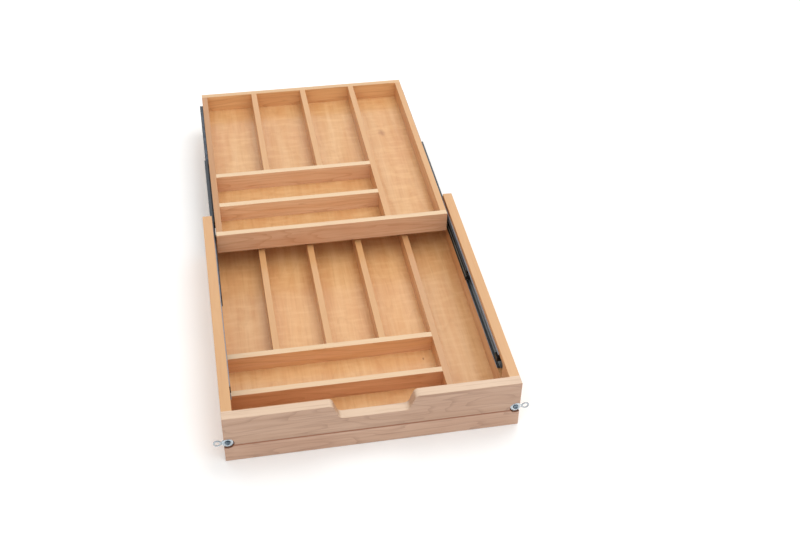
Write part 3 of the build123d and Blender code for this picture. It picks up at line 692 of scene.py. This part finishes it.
def makeScrew(headRadius, headHeight, length):
    shank = screwShape["shankRadius"]
    pitch = screwShape["pitch"]
    profile = [(across * headRadius, down * headHeight) for across, down in screwShape["dome"]]
    profile.append((shank, headHeight))
    depth = headHeight + pitch
    while depth < length - 2 * pitch:
        profile += [(shank * screwShape["rootShare"], depth), (shank, depth + pitch / 2)]
        depth += pitch
    profile += [(shank * screwShape["tipShare"], length - pitch), (0, length)]
    mesh = joinShells("screwShape", [(*turnRound(profile, 24, False), (0, 0, 0))])
    screw = newPiece("screwTemplate", mesh, hardwareFinish["headedScrewSteel"])
    arm = screwShape["recessArm"] * headRadius
    narrow = screwShape["recessWidth"] * headRadius
    deep = screwShape["recessDepth"] * headHeight
    cutters = [makeRecessCutter(arm, deep, narrow), makeRecessCutter(narrow, deep, arm)]
    for cutter in cutters:
        modifier = screw.modifiers.new("recess", "BOOLEAN")
        modifier.operation = "DIFFERENCE"
        modifier.object = cutter
    carved = evaluated(screw)
    discard(screw, *cutters)
    return newPiece("screwTemplate", carved, hardwareFinish["headedScrewSteel"])


def makeBall():
    mesh = bpy.data.meshes.new("ballShape")
    shape = bmesh.new()
    bmesh.ops.create_icosphere(shape, subdivisions=2, radius=1)
    for face in shape.faces:
        face.smooth = True
    shape.to_mesh(mesh)
    shape.free()
    return newPiece("ballTemplate", mesh, hardwareFinish["polishedBearingSteel"])


# One node tree sets a template at every given place
def makeRepeatTree():
    tree = bpy.data.node_groups.new("setAtPlaces", "GeometryNodeTree")
    inputKinds = {"Places": "Geometry", "Template": "Object", "Size": "Float", "Finish": "Material"}
    for name, kind in inputKinds.items():
        tree.interface.new_socket(name, in_out="INPUT", socket_type="NodeSocket" + kind)
    tree.interface.new_socket("Result", in_out="OUTPUT", socket_type="NodeSocketGeometry")
    given = addNode(tree, "NodeGroupInput").outputs
    template = addNode(tree, "GeometryNodeObjectInfo", {"Object": given["Template"]})
    turn = addNode(tree, "GeometryNodeInputNamedAttribute", {"Name": "turn"}, data_type="FLOAT")
    rotation = addNode(tree, "ShaderNodeCombineXYZ", {"Z": turn.outputs["Attribute"]})
    copies = addNode(tree, "GeometryNodeInstanceOnPoints", {
        "Points": given["Places"],
        "Instance": template.outputs["Geometry"],
        "Rotation": rotation.outputs[0],
        "Scale": given["Size"],
    })
    real = addNode(tree, "GeometryNodeRealizeInstances", {"Geometry": copies.outputs["Instances"]})
    finished = addNode(tree, "GeometryNodeSetMaterial", {
        "Geometry": real.outputs["Geometry"], "Material": given["Finish"],
    })
    result = addNode(tree, "NodeGroupOutput")
    tree.links.new(finished.outputs["Geometry"], result.inputs["Result"])
    return tree


repeatTree = makeRepeatTree()


def setAtPlaces(name, template, places, size, finish):
    # places: x, y, z and turn about Z
    holderMesh = bpy.data.meshes.new(name + "Places")
    holderMesh.from_pydata([place[:3] for place in places], [], [])
    turns = holderMesh.attributes.new("turn", "FLOAT", "POINT")
    for item, place in zip(turns.data, places):
        item.value = place[3]
    holder = bpy.data.objects.new(name + "Places", holderMesh)
    scene.collection.objects.link(holder)
    modifier = holder.modifiers.new("setAtPlaces", "NODES")
    modifier.node_group = repeatTree
    inputs = [item for item in repeatTree.interface.items_tree if item.in_out == "INPUT"]
    sockets = {item.name: item.identifier for item in inputs}
    modifier[sockets["Template"]] = template
    modifier[sockets["Size"]] = size
    modifier[sockets["Finish"]] = finish
    mesh = evaluated(holder)
    discard(holder)
    return newPiece(name, mesh, finish)


# Balls: a row in each of the two tracks of a cage
ballsInRow = 8
ballTemplate = makeBall()
for level in ("outer", "inner"):
    for side in ("left", "right"):
        ballNode = f"{level}_balls_{side}"
        low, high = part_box(ballNode)
        radius = (high.x - low.x) / 2
        step = (high.y - low.y - 2 * radius) / (ballsInRow - 1)
        places = [
            ((low.x + high.x) / 2, low.y + radius + step * index, z, 0.0)
            for z in (low.z + radius, high.z - radius)
            for index in range(ballsInRow)
        ]
        balls = setAtPlaces(
            f"{level}Balls_{side}", ballTemplate, places, radius, hardwareFinish["polishedBearingSteel"],
        )
        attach(balls, f"{level}_cage_{side}")
        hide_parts(ballNode)
discard(ballTemplate)
print("balls set")

# Screws of the members: "along" gives each screw's distance from the first
memberScrews = {
    "outerMemberScrews": {
        "node": "outer_member_screws", "body": "drawer", "headRadius": 3.9 * mm, "headHeight": 1.1 * mm,
        "length": 9.5 * mm, "along": (0, 0.09, 0.2, 0.31, 0.415), "outward": True,
    },
    "innerMemberScrews": {
        "node": "inner_member_screws", "body": "tray", "headRadius": 3.4 * mm, "headHeight": 1.5 * mm,
        "length": 12.5 * mm, "along": (0, 0.11, 0.22, 0.33), "outward": False,
    },
}
for name, screws in memberScrews.items():
    low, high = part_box(screws["node"])
    template = makeScrew(screws["headRadius"], screws["headHeight"], screws["length"])
    headPlane = high.x - screws["length"] if screws["outward"] else high.x
    firstScrew = low.y + screws["headRadius"]
    places = []
    for sign in (1, -1):
        pointsRight = (sign > 0) == screws["outward"]
        turn = -math.pi / 2 if pointsRight else math.pi / 2
        places += [
            (sign * headPlane, firstScrew + along, (low.z + high.z) / 2, turn)
            for along in screws["along"]
        ]
    screwSet = setAtPlaces(name, template, places, 1.0, hardwareFinish["headedScrewSteel"])
    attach(screwSet, screws["body"])
    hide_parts(screws["node"])
    discard(template)
print("screws driven")


# Floor: rolled studio paper, white with the faintest clouds, wide enough to hide its edge in low views
floor = {"size": 80, "gap": 0.5 * mm, "shaded": "#fbfbfa", "bright": "#fefefd"}


def makeFloor():
    half = floor["size"] / 2
    corners = [(-half, -half, 0), (half, -half, 0), (half, half, 0), (-half, half, 0)]
    mesh = bpy.data.meshes.new("studioFloor")
    mesh.from_pydata(corners, [], [(0, 1, 2, 3)])
    mesh.transform(Matrix.Translation((0, 0, cadBounds[0].z - floor["gap"])))
    material, tree, output = newMaterial("rolledWhitePaper")
    coordinate = addNode(tree, "ShaderNodeTexCoord").outputs["Object"]
    clouds = addNode(tree, "ShaderNodeTexNoise", {
        "Vector": coordinate, "Scale": 6, "Detail": 4,
    }).outputs["Fac"]
    tone = addNode(tree, "ShaderNodeValToRGB", {"Fac": clouds}, ramp=[
        (0.3, floor["shaded"]), (0.7, floor["bright"]),
    ]).outputs["Color"]
    shader = addNode(tree, "ShaderNodeBsdfPrincipled", {
        "Base Color": tone, "Roughness": 0.9, "Specular IOR Level": 0.1,
    })
    tree.links.new(shader.outputs["BSDF"], output.inputs["Surface"])
    return newPiece("studioFloor", mesh, material)


studioFloor = makeFloor()

# Light: an even dome with two broad soft windows, and one soft lamp overhead
studio = {
    "around": 0.69,   # soft fill from every side
    "fill": 0.78,     # broad light high on the viewer's side, reaching into the compartments
    "window": 0.68,   # broad light behind and above, seen in the coats
}


def makeDome():
    world = bpy.data.worlds.new("softDome")
    scene.world = world
    world.use_nodes = True
    tree = world.node_tree
    tree.nodes.clear()
    direction = addNode(tree, "ShaderNodeTexCoord").outputs["Generated"]
    split = addNode(tree, "ShaderNodeSeparateXYZ", {0: direction}).outputs

    def softWindow(depthRange, heightRange, power):
        # fades in over a range of directions in depth and in height
        inDepth = addNode(tree, "ShaderNodeMapRange", {
            "Value": split["Y"], "From Min": depthRange[0], "From Max": depthRange[1],
            "To Min": 0.0, "To Max": 1.0,
        }, interpolation_type="SMOOTHSTEP").outputs["Result"]
        inHeight = addNode(tree, "ShaderNodeMapRange", {
            "Value": split["Z"], "From Min": heightRange[0], "From Max": heightRange[1],
            "To Min": 0.0, "To Max": power,
        }, interpolation_type="SMOOTHSTEP").outputs["Result"]
        return addNode(tree, "ShaderNodeMath", {0: inDepth, 1: inHeight}, operation="MULTIPLY").outputs[0]

    fill = softWindow((0.1, -0.35), (0.25, 0.6), studio["fill"])
    window = softWindow((0.5, 0.66), (0.36, 0.48), studio["window"])
    glow = addNode(tree, "ShaderNodeMath", {0: fill, 1: window}, operation="ADD").outputs[0]
    strength = addNode(tree, "ShaderNodeMath", {0: glow, 1: studio["around"]}, operation="ADD").outputs[0]
    background = addNode(tree, "ShaderNodeBackground", {"Color": (1, 1, 1, 1), "Strength": strength})
    addNode(tree, "ShaderNodeOutputWorld", {"Surface": background.outputs[0]})


makeDome()

keyLight = {"place": (0.7, 0.9, 2.2), "aim": (0.0, 0.5, 0.0), "size": 1.3, "power": 16}
lamp = bpy.data.lights.new("softKey", "AREA")
lamp.shape = "SQUARE"
lamp.size = keyLight["size"]
lamp.energy = keyLight["power"]
lampObject = bpy.data.objects.new("softKey", lamp)
scene.collection.objects.link(lampObject)
lampObject.location = keyLight["place"]
aim = Vector(keyLight["aim"]) - Vector(keyLight["place"])
lampObject.rotation_euler = aim.to_track_quat("-Z", "Y").to_euler()

# Camera: its place, the directions of its right and down, and its focal length in millimetres
viewer = {
    "place": (-0.23809, -1.33087, 1.52973),
    "right": (0.982493, -0.185102, 0.021102),
    "down": (-0.102703, -0.632639, -0.767607),
    "focal": 51.584,
}
cameraData = bpy.data.cameras.new("viewer")
cameraData.sensor_width = 36
cameraData.lens = viewer["focal"]
cameraData.clip_end = 50
camera = bpy.data.objects.new("viewer", cameraData)
scene.collection.objects.link(camera)
right = Vector(viewer["right"]).normalized()
up = -Vector(viewer["down"]).normalized()
back = right.cross(up)
camera.matrix_world = Matrix.Translation(viewer["place"]) @ Matrix((right, up, back)).transposed().to_4x4()
scene.camera = camera
scene.view_settings.view_transform = "Standard"
print("studio set")
